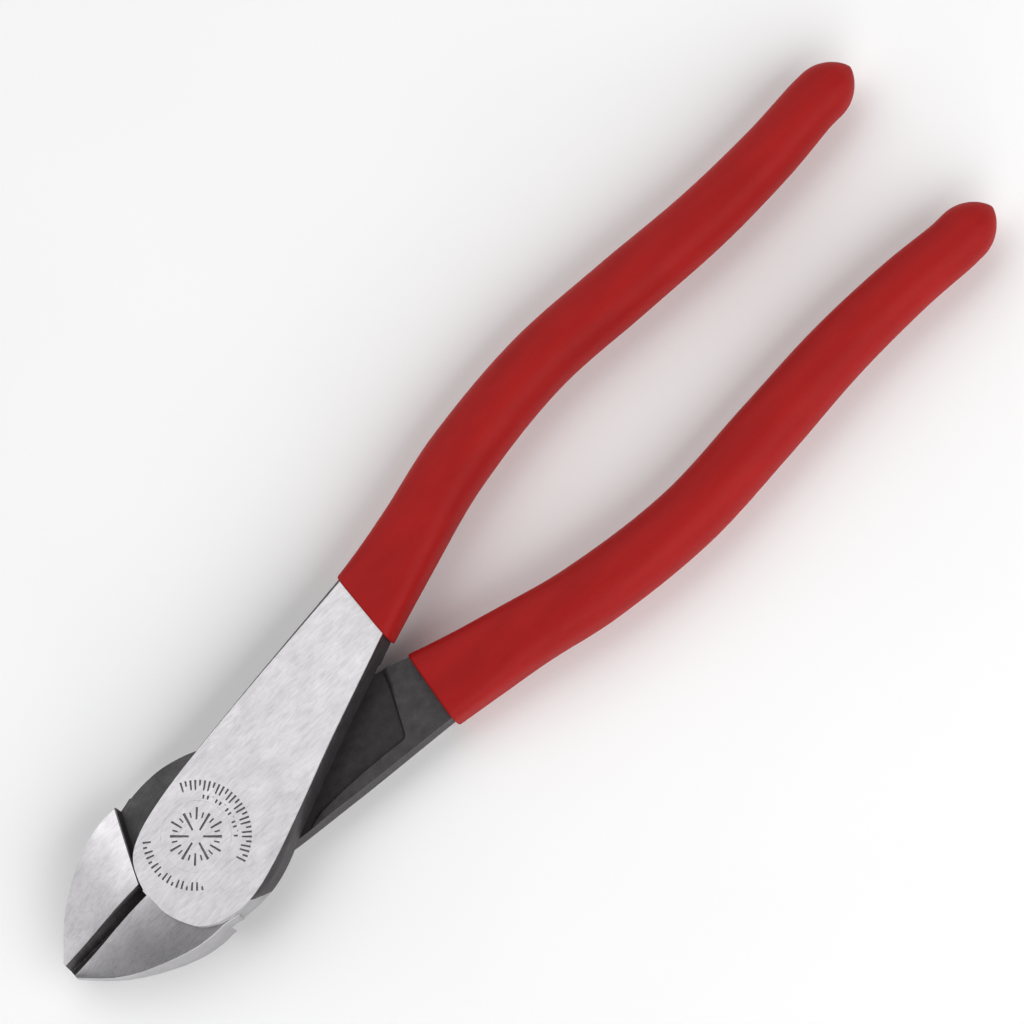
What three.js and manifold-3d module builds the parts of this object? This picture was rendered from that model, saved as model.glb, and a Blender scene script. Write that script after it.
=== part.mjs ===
// Diagonal cutting pliers: two identical forged halves on one flush rivet, each with a dip-moulded grip.
//
// Millimetres. The finished pliers lie flat: the origin is on the rivet's axis in the plane they rest on,
// +X points to the jaw tips and +Z is the rivet's axis. Each half is drawn in its own frame, where z = 0 is
// the plane in which the two halves slide on each other, +Y is the side of its jaw and -Y that of its
// handle. The other half is the same forging turned over about the X axis.
import * as THREE from "three";
import { mergeVertices } from "three/addons/utils/BufferGeometryUtils.js";
import Module from "manifold-3d";

const wasm = await Module();
wasm.setup();

// ---- driving dimensions ----
const HEAD_THICKNESS = 12.7;
const HALF = HEAD_THICKNESS / 2; // one joint plate
const SLIDE_GAP = 0.1; // from a plate to the plane between the halves
const JAW_GAP = 0.1; // from a cutting edge to the plane between the jaws
const JAW_TIP_X = 31.8;
const JAW_STEP = 0.4; // the flat of the plate stands this far above the ground face of the jaw
const RIVET_RADIUS = 4.6;
const RIVET_HEAD_RADIUS = 6.2;
const RIVET_HEAD_DEPTH = 1.6;
const RIVET_CLEARANCE = 0.08;
const COAT = 1.2; // wall of a grip
const COAT_GAP = 0.12; // from a grip's bore to the steel in it
const GRIP_END_X = -172.7;
const TANG_END_X = -169.5;
const DOME_LENGTH = 6.9; // of the rounded, slightly pointed end of a handle
// The line of each dip, in the frame of its half: X where it crosses the centre plane, X per unit of Y.
const FRONT_DIP = { x: -46.8, slant: 0.08 };
const BACK_DIP = { x: -47.7, slant: -0.155 };
const POCKET_DEPTH = 0.8; // relief under the shank for the other half

// ---- geometry helpers ----

// A closed three.js geometry as a solid for the boolean kernel.
function solid(geometry) {
  const bare = geometry.index ? geometry.toNonIndexed() : geometry;
  bare.deleteAttribute("normal");
  bare.deleteAttribute("uv");
  const merged = mergeVertices(bare, 1e-4);
  return new wasm.Manifold(
    new wasm.Mesh({
      numProp: 3,
      vertProperties: merged.attributes.position.array,
      triVerts: new Uint32Array(merged.index.array),
    }),
  );
}

// A solid of the boolean kernel as a named mesh.
function namedMesh(name, shape, material) {
  const made = shape.getMesh();
  const geometry = new THREE.BufferGeometry();
  geometry.setAttribute("position", new THREE.BufferAttribute(made.vertProperties, 3));
  geometry.setIndex(new THREE.BufferAttribute(made.triVerts, 1));
  const flat = geometry.toNonIndexed();
  flat.computeVertexNormals();
  const mesh = new THREE.Mesh(flat, material);
  mesh.name = name;
  return mesh;
}

// A plan outline as a slab between two heights.
function slab(outline, low, high, curveSegments = 12) {
  const options = { depth: high - low, bevelEnabled: false, curveSegments };
  return solid(new THREE.ExtrudeGeometry(outline, options).translate(0, 0, low));
}

// An X-Z outline as a solid that runs across the whole tool in Y.
function acrossTool(outline, halfWidth = 40) {
  const options = { depth: 2 * halfWidth, bevelEnabled: false, curveSegments: 10 };
  const shape = new THREE.ExtrudeGeometry(outline, options);
  return solid(shape.rotateX(Math.PI / 2).translate(0, halfWidth, 0));
}

function points(list) {
  return list.map(([x, y]) => new THREE.Vector2(x, y));
}

function polygon(list) {
  return new THREE.Shape(points(list));
}

// A closed skin through rings of equal point counts, with a flat fan over each end.
function loft(rings) {
  const count = rings[0].length;
  const positions = [];
  const triangle = (a, b, c) => positions.push(...a, ...b, ...c);
  const middle = (ring) =>
    ring.reduce((sum, p) => sum.map((v, i) => v + p[i] / count), [0, 0, 0]);
  for (let r = 0; r + 1 < rings.length; r++) {
    for (let i = 0; i < count; i++) {
      const j = (i + 1) % count;
      triangle(rings[r][i], rings[r + 1][i], rings[r][j]);
      triangle(rings[r][j], rings[r + 1][i], rings[r + 1][j]);
    }
  }
  const first = rings[0];
  const last = rings[rings.length - 1];
  for (let i = 0; i < count; i++) {
    const j = (i + 1) % count;
    triangle(middle(first), first[i], first[j]);
    triangle(middle(last), last[j], last[i]);
  }
  const geometry = new THREE.BufferGeometry();
  geometry.setAttribute("position", new THREE.Float32BufferAttribute(positions, 3));
  return solid(geometry);
}

// ---- the handle of one half: steel shank and tang, and the grip that follows them ----

// Sections of the steel: X, outer edge, inner edge, underside, top, radius of the long edges.
const STEEL_STATIONS = [
  [-20, -12.5, 7.75, -POCKET_DEPTH, HALF, 0.4],
  [-34, -14.0, 2.3, -POCKET_DEPTH, 5.8, 0.7],
  [-47, -15.2, -2.6, -1.2, 5.04, 0.9],
  [-62, -18.1, -7.6, -3.4, 5.05, 2.4],
  [-77, -21.4, -11.9, -4.9, 5.05, 3.4],
  [-98, -23.5, -14.6, -5.1, 5.1, 3.9],
  [-118, -22.4, -13.5, -5.0, 5.0, 3.8],
  [-136, -20.9, -12.5, -4.7, 4.7, 3.6],
  [-152, -20.7, -12.9, -4.3, 4.3, 3.4],
  [-163, -21.4, -14.0, -3.9, 3.9, 3.2],
];

// The section at any X: a smooth curve through the stations, which keeps straight past the last one.
function steelAt(x) {
  const last = STEEL_STATIONS.length - 1;
  const clamped = Math.max(x, STEEL_STATIONS[last][0]);
  let i = 0;
  while (i < last - 1 && clamped < STEEL_STATIONS[i + 1][0]) i++;
  const [from, to] = [STEEL_STATIONS[i], STEEL_STATIONS[i + 1]];
  const before = STEEL_STATIONS[Math.max(i - 1, 0)];
  const after = STEEL_STATIONS[Math.min(i + 2, last)];
  const length = to[0] - from[0];
  const t = (clamped - from[0]) / length;
  return from.map((value, k) => {
    const slopeFrom = ((to[k] - before[k]) / (to[0] - before[0])) * length;
    const slopeTo = ((after[k] - value) / (after[0] - from[0])) * length;
    return (
      value * (2 * t ** 3 - 3 * t ** 2 + 1) +
      slopeFrom * (t ** 3 - 2 * t ** 2 + t) +
      to[k] * (3 * t ** 2 - 2 * t ** 3) +
      slopeTo * (t ** 3 - t ** 2)
    );
  });
}

// The rounded section at X, grown by a wall on every side and shrunk about its middle by a scale.
function handleRing(x, grow, scale) {
  const [, outer, inner, low, high, radius] = steelAt(x);
  const cornerSteps = 4;
  const middleY = (outer + inner) / 2;
  const middleZ = (low + high) / 2;
  const round = (radius + grow) * scale;
  const reachY = ((inner - outer) / 2 + grow) * scale - round;
  const reachZ = ((high - low) / 2 + grow) * scale - round;
  const corners = [[1, 1], [-1, 1], [-1, -1], [1, -1]];
  return corners.flatMap(([sideY, sideZ], corner) =>
    Array.from({ length: cornerSteps + 1 }, (_, step) => {
      const angle = ((corner + step / cornerSteps) * Math.PI) / 2;
      return [
        x,
        middleY + sideY * reachY + round * Math.cos(angle),
        middleZ + sideZ * reachZ + round * Math.sin(angle),
      ];
    }),
  );
}

// The handle from one X to a domed end at another, grown by a wall.
function handleBody(frontX, endX, grow) {
  const domeX = endX + DOME_LENGTH;
  const sectionLength = 6;
  const sections = Math.round((frontX - domeX) / sectionLength);
  const rings = [];
  for (let i = 0; i <= sections; i++) {
    rings.push(handleRing(frontX + ((domeX - frontX) * i) / sections, grow, 1));
  }
  for (const share of [0.35, 0.6, 0.8, 0.93, 0.99]) {
    const scale = (1 - share ** 2) ** 0.68;
    rings.push(handleRing(domeX - DOME_LENGTH * share, grow, scale));
  }
  return loft(rings);
}

// ---- outlines of the joint and the jaw, seen from above ----

// The joint plate, from the shank round the nose and up the arc that parts its flat from the jaw.
function plateOutline() {
  const outline = new THREE.Shape();
  const shank = STEEL_STATIONS[0];
  outline.moveTo(-24, -12.9);
  outline.lineTo(shank[0], shank[1] + 0.1);
  outline.splineThru(points([[-10, -11.0], [0.3, -9.1], [6, -7.5], [9.7, -5.3]]));
  outline.lineTo(12.3, -1.1);
  outline.lineTo(12.8, 0.95);
  outline.absarc(-2.2, 2.9, 15.2, -0.1, 0.61, false);
  outline.splineThru(points([[8.0, 13.2], [4.8, 14.3], [1.6, 14.65], [-3.5, 14.0], [-8.3, 12.2]]));
  outline.lineTo(-24, 6.15);
  return outline;
}

// Both side faces of a jaw are on this outline; the other half's plate turns against its shoulder.
function jawOutline() {
  const outline = new THREE.Shape();
  outline.moveTo(13.1, JAW_GAP);
  outline.lineTo(JAW_TIP_X, JAW_GAP);
  outline.lineTo(JAW_TIP_X, 1.8);
  outline.splineThru(points([[30.6, 3.2], [28.9, 5.0], [23.2, 9.3], [16.4, 12.5], [9.5, 14.1]]));
  outline.lineTo(6.8, 14.1);
  outline.lineTo(12.7, 1.1);
  return outline;
}

// The two ground faces of a jaw fall to the thin tip: an outline in X and Z.
function jawProfile() {
  const outline = new THREE.Shape();
  const shoulder = HALF - JAW_STEP;
  const ground = [[13, shoulder - 0.1], [18, 5.2], [22, 3.9], [26, 2.5], [JAW_TIP_X + 1, 1.1]];
  const mirrored = ground.map(([x, z]) => [x, -z]).reverse();
  outline.moveTo(6, shoulder);
  outline.splineThru(points(ground));
  outline.lineTo(mirrored[0][0], mirrored[0][1]);
  outline.splineThru(points([...mirrored.slice(1), [6, -shoulder]]));
  return outline;
}

// The relief beside a cutting edge: a vee up from the edge that opens into a slot with upright walls.
function cuttingRelief() {
  const slotHalfWidth = 1.25;
  const bevelHeight = 1.7;
  const reach = HEAD_THICKNESS;
  const section = polygon([
    [-slotHalfWidth, reach],
    [-slotHalfWidth, bevelHeight],
    [0, 0],
    [slotHalfWidth, bevelHeight],
    [slotHalfWidth, reach],
  ]);
  const startX = 13.0;
  const options = { depth: JAW_TIP_X + 2 - startX, bevelEnabled: false };
  const groove = new THREE.ExtrudeGeometry(section, options);
  groove.rotateX(Math.PI / 2).rotateZ(Math.PI / 2).translate(startX, 0, 0);
  const upper = solid(groove.clone());
  const lower = solid(groove.rotateX(Math.PI));
  return upper.add(lower);
}

// The ground pocket under the shank, in which the other half's shank lies when the pliers are shut.
function crossingPocket() {
  const outline = polygon([
    [-41.6, 4],
    [-41.3, -3.5],
    [-37.6, -11.6],
    [-27, -10.9],
    [-14, -13.5],
    [-14, 12],
  ]);
  return slab(outline, -HALF, SLIDE_GAP);
}

// ---- the rivet and its bore ----

function rivetBody(clearance) {
  const shank = RIVET_RADIUS + clearance;
  const head = RIVET_HEAD_RADIUS + clearance;
  const end = clearance > 0 ? HALF + 1 : HALF;
  const depth = RIVET_HEAD_DEPTH;
  const profile = points([
    [0, -end],
    [head, -end],
    [head, -HALF],
    [shank, depth - HALF],
    [shank, HALF - depth],
    [head, HALF],
    [head, end],
    [0, end],
  ]);
  const facets = 48;
  return solid(new THREE.LatheGeometry(profile, facets).rotateX(Math.PI / 2));
}

// ---- the pieces ----

function lever() {
  const plate = slab(plateOutline(), SLIDE_GAP, HALF);
  const jaw = slab(jawOutline(), -HALF, HALF).intersect(acrossTool(jawProfile()));
  const handle = handleBody(STEEL_STATIONS[0][0], TANG_END_X, 0).subtract(crossingPocket());
  return plate.add(jaw).subtract(cuttingRelief()).add(handle).subtract(rivetBody(RIVET_CLEARANCE));
}

// A sleeve round the tang, cut off at the line of the dip.
function grip(dip) {
  const outside = handleBody(-40, GRIP_END_X, COAT);
  const bore = handleBody(-34, TANG_END_X - COAT_GAP, COAT_GAP);
  const cutter = new THREE.BoxGeometry(60, 120, 60).translate(30, 0, 0);
  cutter.rotateZ(-Math.atan(dip.slant)).translate(dip.x, 0, 0);
  return outside.subtract(bore).subtract(solid(cutter));
}

const STEEL_BRIGHT = new THREE.MeshStandardMaterial({ color: 0xcfcdd1, metalness: 0.9, roughness: 0.35 });
const STEEL_DARK = new THREE.MeshStandardMaterial({ color: 0x55504f, metalness: 0.8, roughness: 0.5 });
const GRIP_RED = new THREE.MeshStandardMaterial({ color: 0xa62a26, metalness: 0, roughness: 0.5 });

function halfAssembly(leverName, gripName, dip, steel) {
  const half = new THREE.Group();
  half.add(namedMesh(leverName, lever(), steel));
  half.add(namedMesh(gripName, grip(dip), GRIP_RED));
  return half;
}

const pliers = new THREE.Group();
const joint = new THREE.Group();
joint.position.z = HALF;
pliers.add(joint);

joint.add(halfAssembly("front_lever", "front_grip", FRONT_DIP, STEEL_BRIGHT));
const back = halfAssembly("back_lever", "back_grip", BACK_DIP, STEEL_DARK);
back.rotation.x = Math.PI;
joint.add(back);
joint.add(namedMesh("joint_rivet", rivetBody(0), STEEL_BRIGHT));

export default pliers;
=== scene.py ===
"""Looks of the diagonal cutting pliers: two ground and blackened forgings, a flush rivet and two
dip-moulded grips.

Lengths are in millimetres until a mesh is made, and then in metres. Each half of the pliers is drawn in
its own frame: z = 0 is the plane where the halves slide on each other, +Y is the side of its jaw and -Y
that of its handle. The front half stands that way up, and the back half is turned over about X.
"""

import math

import bmesh
import bpy
from mathutils import Matrix, Vector


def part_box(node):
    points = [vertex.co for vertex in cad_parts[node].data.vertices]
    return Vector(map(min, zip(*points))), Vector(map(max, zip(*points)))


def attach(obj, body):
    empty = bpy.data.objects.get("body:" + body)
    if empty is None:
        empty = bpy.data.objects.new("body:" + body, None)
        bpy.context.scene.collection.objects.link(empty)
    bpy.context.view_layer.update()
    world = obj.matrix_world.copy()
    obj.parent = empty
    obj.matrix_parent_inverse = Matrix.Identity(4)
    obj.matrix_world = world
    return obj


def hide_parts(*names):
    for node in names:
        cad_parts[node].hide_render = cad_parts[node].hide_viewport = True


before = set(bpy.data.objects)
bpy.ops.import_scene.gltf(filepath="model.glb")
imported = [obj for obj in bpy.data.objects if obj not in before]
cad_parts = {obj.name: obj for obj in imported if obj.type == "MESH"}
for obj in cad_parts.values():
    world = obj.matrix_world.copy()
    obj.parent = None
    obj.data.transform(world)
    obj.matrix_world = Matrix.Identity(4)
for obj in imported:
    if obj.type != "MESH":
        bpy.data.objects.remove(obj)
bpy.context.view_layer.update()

MM = 0.001


# ---------------------------------------------------------------- the frame's dimensions

rivet_low, rivet_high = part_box("joint_rivet")
lever_low, lever_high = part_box("front_lever")
grip_low, grip_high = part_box("front_grip")

HALF = (rivet_high[2] - rivet_low[2]) / MM / 2  # thickness of one joint plate
RIVET_HEAD_RADIUS = (rivet_high[0] - rivet_low[0]) / MM / 2
JAW_TIP_X = lever_high[0] / MM
TANG_END_X = lever_low[0] / MM
GRIP_END_X = grip_low[0] / MM

RIVET_SHANK_RADIUS = 4.6
RIVET_HEAD_DEPTH = 1.6  # of the countersink
SLIDE_GAP = 0.04  # from a plate to the plane between the halves
EDGE_GAP = 0.005  # from a cutting edge to the plane between the jaws
COAT = 1.2  # wall of a grip
LIP_RADIUS = 0.45  # rounding of a grip's front edge
SLOT_HALF_WIDTH = 1.2  # from a cutting edge to the wall of the slot beside it

# The line of each dip, in the frame of its half: X where it crosses the centre plane, X per unit of Y.
FRONT_DIP = (-46.8, 0.08)
BACK_DIP = (-47.7, -0.155)
PLATE_NOSE_X = 12.9  # front end of the joint plate
SLOT_START_X = 13.05  # just past it, where the slot between the jaws starts


# ---------------------------------------------------------------- curves and meshes

def smoothstep(low, high, value):
    """Rises smoothly from 0 at low to 1 at high. Low may be the greater of the two."""
    t = min(max((value - low) / (high - low), 0.0), 1.0)
    return t * t * (3 - 2 * t)


def curve(stations):
    """A smooth function through stations (x, value), or (x, value, value, ...) for several at once."""
    rows = sorted(stations)

    def at(x):
        x = min(max(x, rows[0][0]), rows[-1][0])
        i = 0
        while i < len(rows) - 2 and x > rows[i + 1][0]:
            i += 1
        start, end = rows[i], rows[i + 1]
        before = rows[max(i - 1, 0)]
        after = rows[min(i + 2, len(rows) - 1)]
        length = end[0] - start[0]
        t = (x - start[0]) / length
        values = []
        for k in range(1, len(start)):
            slope_start = (end[k] - before[k]) / (end[0] - before[0]) * length
            slope_end = (after[k] - start[k]) / (after[0] - start[0]) * length
            values.append(
                start[k] * (2 * t**3 - 3 * t**2 + 1)
                + slope_start * (t**3 - 2 * t**2 + t)
                + end[k] * (3 * t**2 - 2 * t**3)
                + slope_end * (t**3 - t**2)
            )
        return values[0] if len(values) == 1 else values

    return at


def spread(start, end, count):
    """Evenly spaced values from start to end, both included."""
    return [start + (end - start) * i / (count - 1) for i in range(count)]


def new_object(name, bm, materials=()):
    """A mesh object in metres from a bmesh in millimetres."""
    bmesh.ops.recalc_face_normals(bm, faces=bm.faces)
    bmesh.ops.scale(bm, vec=(MM, MM, MM), verts=bm.verts)
    mesh = bpy.data.meshes.new(name)
    bm.to_mesh(mesh)
    bm.free()
    for made in materials:
        mesh.materials.append(made)
    piece = bpy.data.objects.new(name, mesh)
    bpy.context.scene.collection.objects.link(piece)
    return piece


def loft(name, rings, materials, slot_of=lambda ring, point: 0):
    """A closed skin through rings of equal point counts. slot_of picks each face's material."""
    bm = bmesh.new()
    grid = [[bm.verts.new(p) for p in ring] for ring in rings]
    count = len(rings[0])
    for r in range(len(rings) - 1):
        for i in range(count):
            j = (i + 1) % count
            face = bm.faces.new((grid[r][i], grid[r + 1][i], grid[r + 1][j], grid[r][j]))
            face.material_index = slot_of(r, i)
    for r, ring in ((0, grid[0]), (len(rings) - 2, grid[-1])):
        bm.faces.new(ring).material_index = slot_of(r, 0)
    return new_object(name, bm, materials)


def prism(name, outline, low, high, slot=0):
    """A plan outline as a slab between two heights."""
    rings = [[(x, y, z) for x, y in outline] for z in (low, high)]
    return loft(name, rings, STEELS, lambda r, i: slot)


def boolean(piece, operation, cutters):
    """Joins cutters to a piece or takes them away, and deletes them."""
    for cutter in cutters:
        modifier = piece.modifiers.new("boolean", "BOOLEAN")
        modifier.operation = operation
        modifier.solver = "MANIFOLD"
        modifier.object = cutter
        bpy.context.view_layer.update()
        evaluated = piece.evaluated_get(bpy.context.evaluated_depsgraph_get())
        mesh = bpy.data.meshes.new_from_object(evaluated)
        piece.modifiers.clear()
        old = piece.data
        piece.data = mesh
        bpy.data.meshes.remove(old)
    for cutter in cutters:
        bpy.data.objects.remove(cutter)


def shade(piece, angle=math.radians(28)):
    """Smooth shading that stays sharp over edges steeper than the angle."""
    bm = bmesh.new()
    bm.from_mesh(piece.data)
    for face in bm.faces:
        face.smooth = True
    for edge in bm.edges:
        edge.smooth = not edge.is_manifold or edge.calc_face_angle() < angle
    bm.to_mesh(piece.data)
    bm.free()


# ---------------------------------------------------------------- shape of one forging

# Slots of a forging's materials.
GROUND, OXIDE, POCKET, SLIDING, BEVEL, STAMP = range(6)

PLATE_END_X = -52  # back end of the joint plate and shank, inside the grip

# Edges of the ground flat of the joint plate and shank, seen from above.
flat_outer = curve([
    (-52, -15.1), (-47, -14.5), (-26.6, -12.5), (-17.4, -11.5), (-10, -10.65), (-4.9, -10.0),
    (0.3, -9.1), (5, -7.95), (8.2, -6.65), (10.1, -5.35), (11.35, -3.7), (12.45, -1.15), (12.9, 0.6),
])
flat_inner_shank = curve([
    (-52, -4.6), (-46.6, -2.55), (-36.9, 1.1), (-27.1, 4.8), (-16.9, 8.9), (-11.7, 10.9),
    (-7, 12.55), (-2.6, 13.9), (0.3, 14.5), (2.6, 14.62), (4.6, 14.4), (6.4, 13.95), (8.0, 13.28),
    (9.3, 12.5), (10.3, 11.7),
])
CREASE_CENTRE = (-2.2, 2.9)  # the arc that parts the plate's flat from the jaw
CREASE_RADIUS = 15.3
CREASE_START_X = 10.3

# How far the forged flanks stand out beyond the ground flat.
bulge_outer = curve([(-52, 1.1), (-47, 1.0), (-25, 0.75), (-10, 0.5), (-2, 0.15), (13, 0.06)])
bulge_inner = curve([
    (-52, 0.5), (-30, 0.5), (-14, 0.6), (-8, 1.1), (-4, 1.0), (0, 0.4), (3, 0.12), (14, 0.05),
])

# The relief under the shank, where the other half's shank lies when the pliers are shut.
POCKET_DEPTH = 0.8
POCKET_START_X = -13  # the relief starts here
POCKET_FULL_X = -20  # and has its full depth from here on
# The pocket floor behind this X gets painted shade: a darker copy of the oxide.
POCKET_SHADE_X = -11  # behind the faces that rub on each other
pocket_edge = curve([
    (-12, -12.5), (-17, -10.9), (-22, -10.75), (-27, -10.95), (-32, -11.3), (-36.2, -11.6),
    (-37.4, -11.2), (-38.3, -9.6), (-41.2, -3.6), (-43, 1.2), (-45, 7),
])
# How wide the sloping wall at that edge is.
pocket_wall = curve([(-12, 0.45), (-35, 0.45), (-37.5, 1.1), (-40.5, 1.3), (-41.5, 2.6), (-45, 4.0)])


FALL_START_X = -12
FALL_LENGTH = 35
FALL_DEPTH = 0.9


def shank_top(x):
    """The ground face runs level over the joint and falls a little towards the grip."""
    fall = max(0.0, FALL_START_X - x) / FALL_LENGTH
    return HALF - FALL_DEPTH * fall**1.4


def flat_inner(x):
    """Inner edge of the flat: along the shank, and from the crease on round the arc of the plate."""
    if x <= CREASE_START_X:
        return flat_inner_shank(x)
    across = max(CREASE_RADIUS**2 - (x - CREASE_CENTRE[0]) ** 2, 0.0)
    return CREASE_CENTRE[1] + math.sqrt(across)


def underside(x, y):
    """Height of the sliding face, the pocket's wall and the rim beside it."""
    into = min(max((pocket_edge(x) - y) / pocket_wall(x), 0.0), 1.0)
    rim = 1 - (1 - into) ** 2.4
    depth = POCKET_DEPTH * smoothstep(POCKET_START_X, POCKET_FULL_X, x)
    return SLIDE_GAP - (SLIDE_GAP + depth) * rim


SHOULDER_SHARE = 0.3  # of a flank's height that its rounded shoulder takes
DRAFT_SHARE = 0.25  # of a flank's bulge that its draft takes


def flank(edge_y, bulge, top, low, shares):
    """Points down a forged flank: a rounded shoulder under the ground flat, then a slight draft."""
    points = []
    for share in shares:
        shoulder = min(share / SHOULDER_SHARE, 1.0)
        out = bulge * ((1 - DRAFT_SHARE) * (1 - (1 - shoulder) ** 2) + DRAFT_SHARE * share)
        points.append((edge_y + out, top + (low - top) * share))
    return points


FLANK_SHARES = (0.0, 0.03, 0.07, 0.12, 0.18, 0.24, 0.3, 0.38, 0.46, 0.54, 0.62, 0.7, 0.78, 0.86, 0.93, 1.0)
GROUND_TOP_X = 0.9  # the jaw's ground side starts here at the top of the flank,
GROUND_LEAN = 3.7  # and this much further back at its foot
SLIVER = 0.004  # least width of a face, so that no two points of a section fall together

# Points along each part of a plate's section.
TOP_POINTS = 9
FLOOR_POINTS = 9
WALL_POINTS = 7
RIM_POINTS = 6


def plate_ring(x):
    """Section of the joint plate and exposed shank: flat, inner flank, underside, outer flank."""
    top = shank_top(x)
    outer, inner = flat_outer(x), flat_inner(x)
    outer_low = outer - bulge_outer(x)
    inner_low = inner + bulge_inner(x)
    wall_top = min(max(pocket_edge(x), outer_low + 3 * SLIVER), inner_low - SLIVER)
    wall_foot = min(max(pocket_edge(x) - pocket_wall(x), outer_low + SLIVER), wall_top - SLIVER)
    ring = [(y, top) for y in spread(outer, inner, TOP_POINTS)[:-1]]
    ring += flank(inner, bulge_inner(x), top, underside(x, inner_low), FLANK_SHARES)[:-1]
    bottom = spread(inner_low, wall_top, FLOOR_POINTS)[:-1]
    bottom += spread(wall_top, wall_foot, WALL_POINTS)[:-1]
    bottom += spread(wall_foot, outer_low, RIM_POINTS)[:-1]
    ring += [(y, underside(x, y)) for y in bottom]
    rising = flank(outer, -bulge_outer(x), top, underside(x, outer_low), FLANK_SHARES)
    ring += rising[:0:-1]
    return [(x, y, z) for y, z in ring]


def plate_slot(x, point):
    """Material of a face of the plate, from its place on the ring."""
    flank_points = len(FLANK_SHARES) - 1
    inner_start = TOP_POINTS - 1
    bottom_start = inner_start + flank_points
    if point < inner_start:
        return GROUND
    if point < bottom_start:
        depth = FLANK_SHARES[point - inner_start]
        worn_edge = point == inner_start
        return GROUND if worn_edge or x > GROUND_TOP_X - GROUND_LEAN * depth else OXIDE
    if point < bottom_start + FLOOR_POINTS - 1:
        # Painted shade: the pocket floor takes the darker copy of the oxide.
        return SLIDING if x > POCKET_SHADE_X else POCKET
    return OXIDE


def joint_plate():
    """The half-thickness plate of the lap joint with the exposed shank, one skin from grip to nose.

    The sections lie closer together at the end of the pocket and at the lower edge of the ground side.
    """
    shank_x = spread(PLATE_END_X, -43.2, 24) + spread(-43, -35, 70) + spread(-34.8, -3.2, 80)
    shank_x += spread(-3.1, 1.1, 43) + spread(1.4, CREASE_START_X, 30)
    reach = math.acos((CREASE_START_X - CREASE_CENTRE[0]) / CREASE_RADIUS)
    nose = math.acos((PLATE_NOSE_X - CREASE_CENTRE[0]) / CREASE_RADIUS)
    nose_x = [CREASE_CENTRE[0] + CREASE_RADIUS * math.cos(a) for a in spread(reach, nose, 36)[1:]]
    xs = shank_x + nose_x
    return loft("plate", [plate_ring(x) for x in xs], STEELS, lambda r, i: plate_slot(xs[r], i))


# The jaw: its outer side seen from above, and the height of its ground face beside the slot.
jaw_side = curve([
    (4, 14.8), (6.8, 14.2), (9.5, 14.15), (12.9, 13.65), (16.4, 12.55), (19.8, 11.05), (23.2, 9.3),
    (26.7, 6.95), (28.9, 4.95), (30.4, 3.4), (31.3, 2.4), (31.8, 1.85),
])
jaw_face = curve([
    (4, 6.02), (10, 6.02), (13, 5.95), (16, 5.62), (18, 5.22), (20, 4.65), (22, 3.95), (24, 3.2),
    (26, 2.52), (28, 1.95), (30, 1.5), (31.8, 1.15),
])
JAW_CROWN = 1.45  # fall of the ground face from the slot to the outer side
BEVEL_HEIGHT = 1.75
CORNER = 0.08  # rounding between the ground face and the side of a jaw,
TIP_CORNER = 0.5  # and how much is added to it at the tip
BLANK_EDGE = 0.1  # width of the land beside the centre plane where there is no slot

# Points along each part of the upper half of a jaw's section.
BEVEL_POINTS = 4
SLOT_POINTS = 5
FACE_POINTS = 18
CORNER_POINTS = 7
SIDE_POINTS = 4


def jaw_height(x, y):
    """Height of the ground face of a jaw, which is crowned from the slot out to the side."""
    height = jaw_face(x)
    share = max((y - SLOT_HALF_WIDTH) / (jaw_side(x) - SLOT_HALF_WIDTH), 0.0)
    return height - JAW_CROWN * height / HALF * share**1.6


def jaw_ring(x, with_slot):
    """Section of a jaw, from the cutting edge over the top face and outer side to the lower face."""
    side = jaw_side(x)
    height = jaw_face(x)
    slot = SLOT_HALF_WIDTH if with_slot else BLANK_EDGE
    rounding = CORNER + TIP_CORNER * smoothstep(21, 31, x)
    corner = min(rounding, 0.6 * (side - SLOT_HALF_WIDTH), 0.5 * height)
    bevel = min(BEVEL_HEIGHT * slot / SLOT_HALF_WIDTH, 0.88 * height)
    upper = [(EDGE_GAP + (slot - EDGE_GAP) * t, bevel * t) for t in spread(0, 1, BEVEL_POINTS)]
    upper += [(slot, bevel + (height - bevel) * t) for t in spread(0, 1, SLOT_POINTS)[1:]]
    upper += [(y, jaw_height(x, y)) for y in spread(slot, side - corner, FACE_POINTS)[1:]]
    edge = jaw_height(x, side - corner)
    for a in spread(0, 90, CORNER_POINTS)[1:]:
        turn = math.radians(a)
        upper.append((side - corner + corner * math.sin(turn), edge - corner + corner * math.cos(turn)))
    upper += [(side, (edge - corner) * t) for t in spread(1, 0, SIDE_POINTS)[1:]]
    lower = [(y, -z) for y, z in upper[-2:0:-1]]
    return [(x, y, z) for y, z in upper + lower]


def jaw_slot(point, with_slot):
    """Material of a face of the jaw: the slot's walls and bevels stay dark."""
    slot_faces = BEVEL_POINTS + SLOT_POINTS - 2
    upper_faces = slot_faces + FACE_POINTS + CORNER_POINTS + SIDE_POINTS - 3
    mirrored = min(point, 2 * upper_faces - 1 - point)
    return BEVEL if with_slot and mirrored < slot_faces else GROUND


def jaw_block():
    """Full-thickness jaw, with the relief beside its cutting edge from the nose of the plate on."""
    back_x = spread(4, SLOT_START_X, 22)
    front_x = spread(SLOT_START_X + 0.01, 29, 70) + spread(29.15, JAW_TIP_X, 18)
    rings = [jaw_ring(x, False) for x in back_x] + [jaw_ring(x, True) for x in front_x]
    first_slotted = len(back_x)
    return loft("jaw", rings, STEELS, lambda r, i: jaw_slot(i, r >= first_slotted - 1))


SHOULDER_TURN = math.radians(24.5)  # the shoulder leans this far from straight across the tool
SHOULDER_REACH = 11.95  # from the rivet's axis to the shoulder
SHOULDER_CHAMFER = 0.24


def shoulder_point(y):
    """X of the jaw's shoulder at a Y."""
    return (SHOULDER_REACH - y * math.sin(SHOULDER_TURN)) / math.cos(SHOULDER_TURN)


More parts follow.
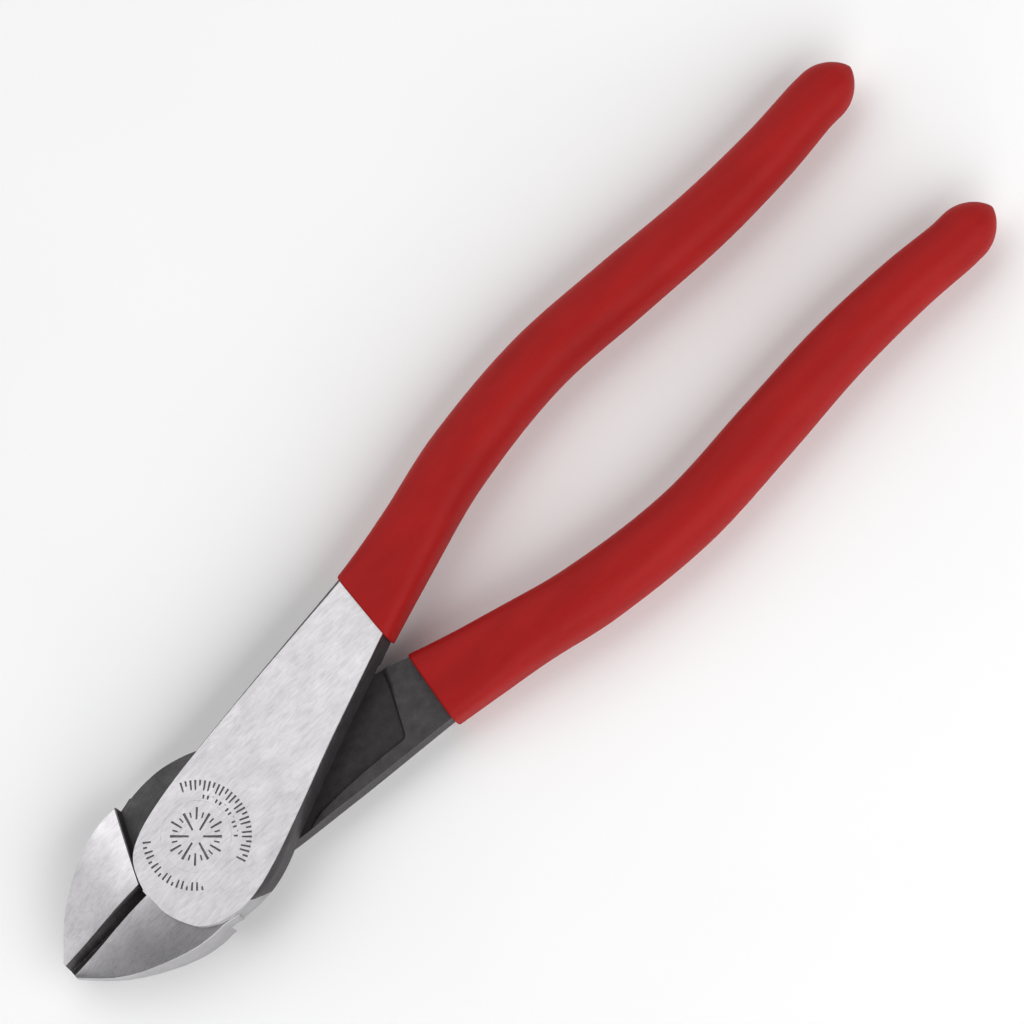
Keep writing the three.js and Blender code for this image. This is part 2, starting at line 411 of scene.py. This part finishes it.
def recess_cutter():
    """The room that the other half's joint plate turns in, under this half's plate."""
    front = SLOT_START_X + 0.05
    outline = [
        (-6, -3), (front, -3), (front, SLOT_HALF_WIDTH),
        (shoulder_point(SLOT_HALF_WIDTH), SLOT_HALF_WIDTH), (shoulder_point(20), 20), (-6, 20),
    ]
    return prism("recess", outline, -HALF - 2, SLIDE_GAP, OXIDE)


def shoulder_chamfer():
    """A thin wedge that breaks the edge between the jaw's ground face and its shoulder."""
    away = Vector((-math.cos(SHOULDER_TURN), -math.sin(SHOULDER_TURN), 0)) * SHOULDER_CHAMFER
    down = Vector((0, 0, -1)) * SHOULDER_CHAMFER
    rings = []
    for y in spread(SLOT_HALF_WIDTH - 1, 15, 24):
        x = shoulder_point(y)
        edge = Vector((x, y, -jaw_height(x, y)))
        rings.append([edge - away, edge + down, edge + away, edge - down])
    return loft("chamfer", rings, STEELS, lambda r, i: GROUND)


def turned(name, profile, segments, slot):
    """A profile of (radius, z) turned about the rivet's axis, closed by its flat ends."""
    rings = []
    for radius, z in profile:
        angles = [2 * math.pi * i / segments for i in range(segments)]
        rings.append([(radius * math.cos(a), radius * math.sin(a), z) for a in angles])
    return loft(name, rings, STEELS, lambda r, i: slot)


def rivet_profile(grow, end):
    """The countersunk heads and shank of the rivet, grown by a clearance, with ends at a height."""
    head, shank = RIVET_HEAD_RADIUS + grow, RIVET_SHANK_RADIUS + grow
    neck = HALF - RIVET_HEAD_DEPTH
    return [(head, -end), (head, -HALF), (shank, -neck), (shank, neck), (head, HALF), (head, end)]


MARK_DEPTH = 0.16


def radial_bar(bm, angle, inner, outer, half_width, height):
    """One stamped bar that points at the rivet's axis, sunk from a height."""
    along = Vector((math.cos(angle), math.sin(angle), 0))
    across = Vector((-math.sin(angle), math.cos(angle), 0))
    middle = (inner + outer) / 2
    corners = [(inner, -0.7), (outer, -1.0), (outer, 1.0), (inner, 0.7)]
    # The sides of a mark lean: it is narrower and shorter at its bottom than above the steel.
    bottom = (height - MARK_DEPTH, 0.55, 0.93)
    above = (height + 1, 2.4, 1.25)
    rings = []
    for z, wide, long in (bottom, above):
        ring = []
        for radius, side in corners:
            reach = middle + (radius - middle) * long
            point = along * reach + across * side * half_width * wide
            ring.append(bm.verts.new((point.x, point.y, z)))
        rings.append(ring)
    bm.faces.new(rings[0])
    bm.faces.new(rings[1])
    for i in range(4):
        j = (i + 1) % 4
        bm.faces.new((rings[0][i], rings[0][j], rings[1][j], rings[1][i]))


def ticks_on_arc(bm, middle, width, count, inner, outer):
    """Stamped ticks along an arc round the rivet, each third one short. Angles in degrees."""
    for i, angle in enumerate(spread(middle - width / 2, middle + width / 2, count)):
        start = inner + (0.8 if i % 3 == 1 else 0.0)
        radial_bar(bm, math.radians(angle), start, outer, 0.24, HALF)


def plate_marks():
    """Plain stamped graduations round the rivet, with no lettering in them."""
    bm = bmesh.new()
    ticks_on_arc(bm, 176, 134, 27, 8.0, 9.8)
    ticks_on_arc(bm, 8, 92, 17, 7.9, 9.4)
    ticks_on_arc(bm, 176, 80, 13, 6.6, 7.3)
    for face in bm.faces:
        face.material_index = STAMP
    return new_object("marks", bm, STEELS)


def forging(name, marked):
    """One half of the steelwork in its own frame: jaw, joint plate, exposed shank."""
    jaw = jaw_block()
    boolean(jaw, "DIFFERENCE", [recess_cutter(), shoulder_chamfer()])
    plate = joint_plate()
    plate.name = name
    boolean(plate, "UNION", [jaw])
    bore = turned("bore", rivet_profile(0.02, HALF + 1), 96, SLIDING)
    boolean(plate, "DIFFERENCE", [bore])
    if marked:
        boolean(plate, "DIFFERENCE", [plate_marks()])
    return plate


# ---------------------------------------------------------------- tang and grip

# Sections of the tang: X, outer edge, inner edge, underside, top, squareness of the grip's section.
tang_section = curve([
    (-34, -13.4, 2.3, -0.8, 5.8, 5.5),
    (-47, -14.7, -2.6, -1.2, 5.1, 4.6),
    (-62, -17.7, -7.6, -3.4, 5.05, 3.1),
    (-77, -21.4, -11.9, -4.9, 5.05, 2.5),
    (-98, -23.5, -14.6, -5.1, 5.1, 2.35),
    (-118, -22.4, -13.5, -5.0, 5.0, 2.35),
    (-136, -20.9, -12.5, -4.7, 4.7, 2.35),
    (-152, -20.7, -12.9, -4.3, 4.3, 2.35),
    (-163, -21.4, -14.0, -3.9, 3.9, 2.3),
])


def handle_ring(x, grow, scale, points=64, slant=0.0):
    """A rounded section of the handle: a superellipse whose squareness fades along the handle."""
    outer, inner, low, high, power = tang_section(x)
    middle_y, middle_z = (outer + inner) / 2, (low + high) / 2
    reach_y = ((inner - outer) / 2 + grow) * scale
    reach_z = ((high - low) / 2 + grow) * scale
    ring = []
    for i in range(points):
        angle = 2 * math.pi * i / points
        cos, sin = math.cos(angle), math.sin(angle)
        y = middle_y + reach_y * math.copysign(abs(cos) ** (2 / power), cos)
        z = middle_z + reach_z * math.copysign(abs(sin) ** (2 / power), sin)
        ring.append((x + slant * y, y, z))
    return ring


DOME_LENGTH = 6.9  # of the rounded, slightly pointed end of a handle
DOME_RINGS = 17


def handle_rings(front, end, grow, step, slant_at=lambda x: 0.0):
    """Rings from the front of a handle to its pointed, rounded end."""
    dome = end + DOME_LENGTH
    rings = []
    count = round((front - dome) / step)
    for x in spread(front, dome, count):
        rings.append(handle_ring(x, grow, 1.0, slant=slant_at(x)))
    for i in range(1, DOME_RINGS + 1):
        share = math.sin(math.pi / 2 * i / (DOME_RINGS + 0.4))
        rings.append(handle_ring(dome - DOME_LENGTH * share, grow, (1 - share**2) ** 0.68))
    return rings


TANG_START_X = -50.5  # behind the line of the dip
BORE_BITE = 0.3  # the grip's bore lies this far inside the tang, so that no gap shows


def tang(name):
    """The steel inside a grip, from just behind the line of the dip."""
    return loft(name, handle_rings(TANG_START_X, TANG_END_X, 0.0, 3.0), STEELS, lambda r, i: OXIDE)


def grip(name, dip_x, slant):
    """A dip-moulded sleeve: outer skin, rounded lip at the dip line, and its bore round the tang."""
    def slant_at(x):
        return slant * (1 - smoothstep(dip_x - 3, dip_x - 22, x))

    outer = handle_rings(dip_x - LIP_RADIUS, GRIP_END_X, COAT, 1.1, slant_at)
    lip = []
    for a in spread(0, 90, 6)[1:]:
        turn = math.radians(a)
        x = dip_x - LIP_RADIUS * (1 - math.sin(turn))
        grow = COAT - LIP_RADIUS * (1 - math.cos(turn))
        lip.append(handle_ring(x, grow, 1.0, slant=slant_at(x)))
    # The front face of the lip runs from the skin to inside the steel.
    mouth = [handle_ring(dip_x, grow, 1.0, slant=slant_at(dip_x)) for grow in (0.4, -0.6)]
    bore = handle_rings(dip_x - 2, TANG_END_X - 0.1, -BORE_BITE, 4.0)
    return loft(name, outer[::-1] + lip + mouth + bore, [VINYL])


# ---------------------------------------------------------------- materials

def material(name):
    """A new node material with its Principled shader and a socket-linking helper."""
    made = bpy.data.materials.new(name)
    made.use_nodes = True
    tree = made.node_tree
    shader = tree.nodes["Principled BSDF"]

    def node(kind, inputs=None, **settings):
        added = tree.nodes.new(kind)
        for key, value in settings.items():
            setattr(added, key, value)
        for key, value in (inputs or {}).items():
            if isinstance(value, bpy.types.NodeSocket):
                tree.links.new(value, added.inputs[key])
            else:
                added.inputs[key].default_value = value
        return added

    return made, shader, node, tree.links.new


def grain(node, stretch, detail=3.0, turn=0.0, distortion=0.0):
    """Noise in millimetres of the object's own space: stretch is its waves per millimetre on each axis."""
    point = node("ShaderNodeTexCoord").outputs["Object"]
    stretched = node(
        "ShaderNodeMapping",
        {"Vector": point, "Rotation": (0, 0, turn), "Scale": tuple(s / MM for s in stretch)},
        vector_type="POINT",
    )
    noise = node(
        "ShaderNodeTexNoise",
        {"Vector": stretched.outputs["Vector"], "Scale": 1.0, "Detail": detail, "Roughness": 0.6,
         "Distortion": distortion},
    )
    return noise.outputs["Fac"]


def ramp(node, value, stops):
    """A colour ramp with stops of (position, colour)."""
    made = node("ShaderNodeValToRGB", {"Fac": value})
    elements = made.color_ramp.elements
    for i, (position, colour) in enumerate(stops):
        element = elements[i] if i < 2 else elements.new(position)
        element.position = position
        element.color = (*colour, 1)
    return made.outputs["Color"]


def remap(node, value, low, high):
    """Brings a noise, which mostly lies between 0.3 and 0.7, to a range from low to high."""
    made = node("ShaderNodeMapRange", {"Value": value, "To Min": low, "To Max": high})
    made.inputs["From Min"].default_value = 0.3
    made.inputs["From Max"].default_value = 0.7
    return made.outputs["Result"]


def bump(node, height, depth, strength=1.0, normal=None):
    """A normal for a relief of a depth in millimetres, on top of another normal if one is given."""
    inputs = {"Height": height, "Strength": strength, "Distance": depth * MM}
    if normal:
        inputs["Normal"] = normal
    return node("ShaderNodeBump", inputs).outputs["Normal"]


def scaled(node, colour, factor):
    """A colour times a number."""
    made = node("ShaderNodeVectorMath", {0: colour, "Scale": factor}, operation="SCALE")
    return made.outputs["Vector"]


def upright_painted_shade(node):
    """Below 1 on upright sides, down to 0.79: painted shade that makes walls and flanks darker than the
    level faces.
    """
    normal = node("ShaderNodeTexCoord").outputs["Normal"]
    rise = node("ShaderNodeSeparateXYZ", {"Vector": normal}).outputs["Z"]
    level = node("ShaderNodeMath", {0: rise}, operation="ABSOLUTE").outputs["Value"]
    tone = node("ShaderNodeMapRange", {"Value": level, "From Max": 0.6, "To Min": 0.79, "To Max": 1.0})
    return tone.outputs["Result"]


def ground_steel():
    """Bright steel off a surface grinder: fine parallel marks, a few deeper ones, faint clouding, and
    painted shade on its upright sides.
    """
    made, shader, node, link = material("ground_steel")
    marks = grain(node, (0.35, 9.0, 9.0), 4.0, math.radians(12), 0.4)
    deeper = grain(node, (0.45, 2.2, 2.2), 4.0, math.radians(15), 0.5)
    clouds = grain(node, (0.22, 0.3, 0.3), 3.0)
    tone = ramp(node, clouds, [(0.3, (0.60, 0.585, 0.605)), (0.7, (0.72, 0.705, 0.725))])
    streaks = ramp(node, deeper, [(0.32, (0.84, 0.84, 0.84)), (0.56, (1, 1, 1))])
    streaked = node("ShaderNodeVectorMath", {0: tone, 1: streaks}, operation="MULTIPLY").outputs["Vector"]
    # Upright sides get painted shade: the colour is scaled down there.
    link(scaled(node, streaked, upright_painted_shade(node)), shader.inputs["Base Color"])
    link(remap(node, marks, 0.26, 0.38), shader.inputs["Roughness"])
    fine = bump(node, marks, 0.012)
    link(bump(node, deeper, 0.01, 0.7, fine), shader.inputs["Normal"])
    shader.inputs["Metallic"].default_value = 1.0
    return made


def oxide_steel(name, shade_of):
    """Black-oxide forging skin: dark, satin, mottled, a little browner and paler where it is rubbed.
    shade_of scales its colour; below 1 it is painted shade.
    """
    made, shader, node, link = material(name)
    mottle = grain(node, (0.5, 0.6, 0.6), 5.0)
    pits = grain(node, (3.5, 3.5, 3.5), 3.0)
    stops = [(0.3, (0.044, 0.040, 0.042)), (0.62, (0.066, 0.060, 0.064)), (0.8, (0.085, 0.077, 0.078))]
    tone = ramp(node, mottle, [(at, tuple(c * shade_of for c in colour)) for at, colour in stops])
    link(tone, shader.inputs["Base Color"])
    link(remap(node, pits, 0.42, 0.6), shader.inputs["Roughness"])
    link(bump(node, pits, 0.03), shader.inputs["Normal"])
    shader.inputs["Metallic"].default_value = 0.55
    shader.inputs["Specular IOR Level"].default_value = 0.4
    return made


def sliding_steel():
    """The faces that rub in the joint: dull steel with marks that run round the rivet, coloured dark as
    painted shade of the recess beside the other half's shoulder, where they show.
    """
    made, shader, node, link = material("sliding_steel")
    point = node("ShaderNodeTexCoord").outputs["Object"]
    parts = node("ShaderNodeSeparateXYZ", {"Vector": point})
    flat = node("ShaderNodeCombineXYZ", {"X": parts.outputs["X"], "Y": parts.outputs["Y"]})
    radius = node("ShaderNodeVectorMath", {0: flat.outputs["Vector"]}, operation="LENGTH")
    rings = node("ShaderNodeMath", {0: radius.outputs["Value"], 1: 3.5 / MM}, operation="MULTIPLY")
    lined = node("ShaderNodeTexNoise", {"W": rings.outputs["Value"], "Scale": 1.0, "Detail": 3.0},
                 noise_dimensions="1D").outputs["Fac"]
    mottle = grain(node, (0.4, 0.4, 0.4), 4.0)
    # Dark colour: painted shade of the recess where these faces show beside the other half's shoulder.
    tone = ramp(node, mottle, [(0.3, (0.075, 0.073, 0.074)), (0.7, (0.12, 0.117, 0.118))])
    link(tone, shader.inputs["Base Color"])
    link(remap(node, lined, 0.38, 0.55), shader.inputs["Roughness"])
    link(bump(node, lined, 0.02), shader.inputs["Normal"])
    shader.inputs["Metallic"].default_value = 0.8
    return made


def bevel_steel():
    """Hardened knife bevels and slot walls: dark, grinding marks across the edge, and painted shade that
    darkens them towards the tips.
    """
    made, shader, node, link = material("bevel_steel")
    marks = grain(node, (5.0, 0.5, 0.5), 4.0)
    tone = ramp(node, marks, [(0.35, (0.19, 0.178, 0.18)), (0.65, (0.30, 0.286, 0.29))])
    point = node("ShaderNodeTexCoord").outputs["Object"]
    along = node("ShaderNodeSeparateXYZ", {"Vector": point}).outputs["X"]
    # Painted shade: the colour falls to 0.28 of itself from 21 to 29 mm along X, towards the tips.
    tip_painted_shade = node("ShaderNodeMapRange", {"Value": along, "From Min": 21 * MM, "From Max": 29 * MM,
                                       "To Min": 1.0, "To Max": 0.28}).outputs["Result"]
    link(scaled(node, tone, tip_painted_shade), shader.inputs["Base Color"])
    link(remap(node, marks, 0.4, 0.58), shader.inputs["Roughness"])
    link(bump(node, marks, 0.03), shader.inputs["Normal"])
    shader.inputs["Metallic"].default_value = 0.7
    return made


def stamp_steel():
    """Bottoms of the stamped marks, coloured dark as painted shade of their depth."""
    made, shader, node, link = material("stamp_steel")
    stamp_shade_mottle = grain(node, (2.5, 2.5, 2.5), 3.0)
    # Dark colour: painted shade in the bottoms of the marks.
    tone = ramp(node, stamp_shade_mottle, [(0.3, (0.10, 0.095, 0.10)), (0.7, (0.22, 0.21, 0.22))])
    link(tone, shader.inputs["Base Color"])
    link(remap(node, stamp_shade_mottle, 0.45, 0.65), shader.inputs["Roughness"])
    shader.inputs["Metallic"].default_value = 0.8
    return made


def dipped_plastic():
    """Red vinyl as it cures off the dip: satin, faintly clouded, with a soft orange-peel skin."""
    made, shader, node, link = material("dipped_plastic")
    clouds = grain(node, (0.05, 0.16, 0.16), 3.0)
    peel = grain(node, (0.9, 1.1, 1.1), 2.0)
    fine = grain(node, (6.0, 6.0, 6.0), 2.0)
    tone = ramp(node, clouds, [(0.3, (0.30, 0.008, 0.008)), (0.7, (0.36, 0.011, 0.010))])
    link(tone, shader.inputs["Base Color"])
    link(remap(node, fine, 0.50, 0.60), shader.inputs["Roughness"])
    soft = bump(node, peel, 0.03)
    link(bump(node, fine, 0.006, 1.0, soft), shader.inputs["Normal"])
    shader.inputs["Specular IOR Level"].default_value = 0.12
    return made


STEELS = [
    ground_steel(),
    oxide_steel("oxide_steel", 1.0),
    # The pocket floor: the same oxide at 0.6 of its colour, as painted shade of the recess under the other
    # half's shank.
    oxide_steel("pocket_steel", 0.6),
    sliding_steel(),
    bevel_steel(),
    stamp_steel(),
]
VINYL = dipped_plastic()


# ---------------------------------------------------------------- the pieces

def place(piece, turned_over):
    """Moves a piece from its half's own frame into the frame of the pliers."""
    move = Matrix.Translation((0, 0, HALF * MM))
    if turned_over:
        move = move @ Matrix.Rotation(math.pi, 4, "X")
    piece.data.transform(move)


def make_half(end, dip, turned_over):
    """The forging, its tang and its grip for one half, which ride on that half's body."""
    body = end + "_half"
    steel = forging(end + "_forging", not turned_over)
    hidden = tang(end + "_tang")
    sleeve = grip(end + "_dipped_grip", *dip)
    for piece in (steel, hidden, sleeve):
        place(piece, turned_over)
    shade(steel)
    shade(hidden)
    shade(sleeve, math.radians(60))
    for piece in (steel, hidden, sleeve):
        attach(piece, body)
    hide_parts(end + "_lever")
    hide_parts(end + "_grip")


def rivet_rosette():
    """A plain stamped rosette on the rivet's head: six bars with short strokes between them."""
    bm = bmesh.new()
    for i in range(6):
        angle = math.radians(60 * i + 15)
        radial_bar(bm, angle, 1.2, 4.6, 0.3, HALF)
        radial_bar(bm, angle + math.radians(30), 2.9, 5.1, 0.26, HALF)
        for side in (-1, 1):
            radial_bar(bm, angle + side * math.radians(14), 3.3, 4.3, 0.2, HALF)
    for face in bm.faces:
        face.material_index = STAMP
    return new_object("rosette", bm, STEELS)


def make_rivet():
    """The hot-set rivet with both heads ground flush."""
    rivet = turned("flush_rivet", rivet_profile(0.0, HALF)[1:-1], 96, GROUND)
    boolean(rivet, "DIFFERENCE", [rivet_rosette()])
    place(rivet, False)
    shade(rivet)
    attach(rivet, "back_half")
    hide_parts("joint_rivet")


make_half("front", FRONT_DIP, False)
make_half("back", BACK_DIP, True)
make_rivet()


# ---------------------------------------------------------------- floor, light and camera

def make_floor():
    """A plain pale table top just under the pliers."""
    bm = bmesh.new()
    bmesh.ops.create_grid(bm, x_segments=8, y_segments=8, size=3000)
    floor = new_object("floor", bm)
    floor.location.z = -0.00005
    made, shader, node, link = material("pale_floor")
    clouds = grain(node, (0.01, 0.01, 0.01), 2.0)
    tone = ramp(node, clouds, [(0.3, (0.92, 0.92, 0.92)), (0.7, (0.95, 0.95, 0.95))])
    link(tone, shader.inputs["Base Color"])
    shader.inputs["Roughness"].default_value = 0.9
    floor.data.materials.append(made)


def make_light(name, position, size, power, aim=(-0.07, 0, 0)):
    """A soft rectangular lamp that faces the middle of the pliers."""
    light = bpy.data.lights.new(name, "AREA")
    light.shape = "RECTANGLE"
    light.size, light.size_y = size
    light.energy = power
    lamp = bpy.data.objects.new(name, light)
    lamp.location = position
    lamp.rotation_euler = (Vector(aim) - Vector(position)).to_track_quat("-Z", "Y").to_euler()
    bpy.context.scene.collection.objects.link(lamp)


def make_world(strength):
    """A studio that is bright on the -Y side and falls off to near black past the zenith."""
    world = bpy.data.worlds.new("studio")
    world.use_nodes = True
    tree = world.node_tree
    background = tree.nodes["Background"]
    background.inputs["Strength"].default_value = strength
    direction = tree.nodes.new("ShaderNodeTexCoord")
    parts = tree.nodes.new("ShaderNodeSeparateXYZ")
    tone = tree.nodes.new("ShaderNodeMapRange")
    tone.interpolation_type = "SMOOTHSTEP"
    tone.inputs["From Min"].default_value = 0.05
    tone.inputs["From Max"].default_value = -0.35
    tone.inputs["To Min"].default_value = 0.09
    tone.inputs["To Max"].default_value = 1.0
    tree.links.new(direction.outputs["Generated"], parts.inputs["Vector"])
    tree.links.new(parts.outputs["Y"], tone.inputs["Value"])
    tree.links.new(tone.outputs["Result"], background.inputs["Color"])
    bpy.context.scene.world = world


def make_camera():
    """Looks down 75 degrees from the +Y side through a long lens, with the jaws at the lower left."""
    elevation = math.radians(75)
    turn = math.radians(44.53)
    aim = Vector((-0.0774, -0.0034, HALF * MM))
    distance = 1.6
    picture_width = 0.1758
    away = Vector((0, math.cos(elevation), math.sin(elevation)))
    level = Vector((0, math.sin(elevation), -math.cos(elevation)))
    along = Vector((1, 0, 0))
    right = -math.cos(turn) * along + math.sin(turn) * level
    up = -math.sin(turn) * along - math.cos(turn) * level
    data = bpy.data.cameras.new("camera")
    data.sensor_width = 36
    data.lens = data.sensor_width * distance / picture_width
    data.clip_end = 20
    camera = bpy.data.objects.new("camera", data)
    axes = Matrix((right, up, away)).transposed()
    camera.matrix_world = Matrix.Translation(aim + away * distance) @ axes.to_4x4()
    bpy.context.scene.collection.objects.link(camera)
    bpy.context.scene.camera = camera


make_floor()
make_light("softbox", (-0.30, -0.62, 1.1), (1.3, 1.0), 2.9)
make_light("fill", (-0.15, 1.2, 0.9), (3.0, 1.4), 32)
make_world(0.9)
make_camera()
bpy.context.scene.view_settings.view_transform = "Standard"
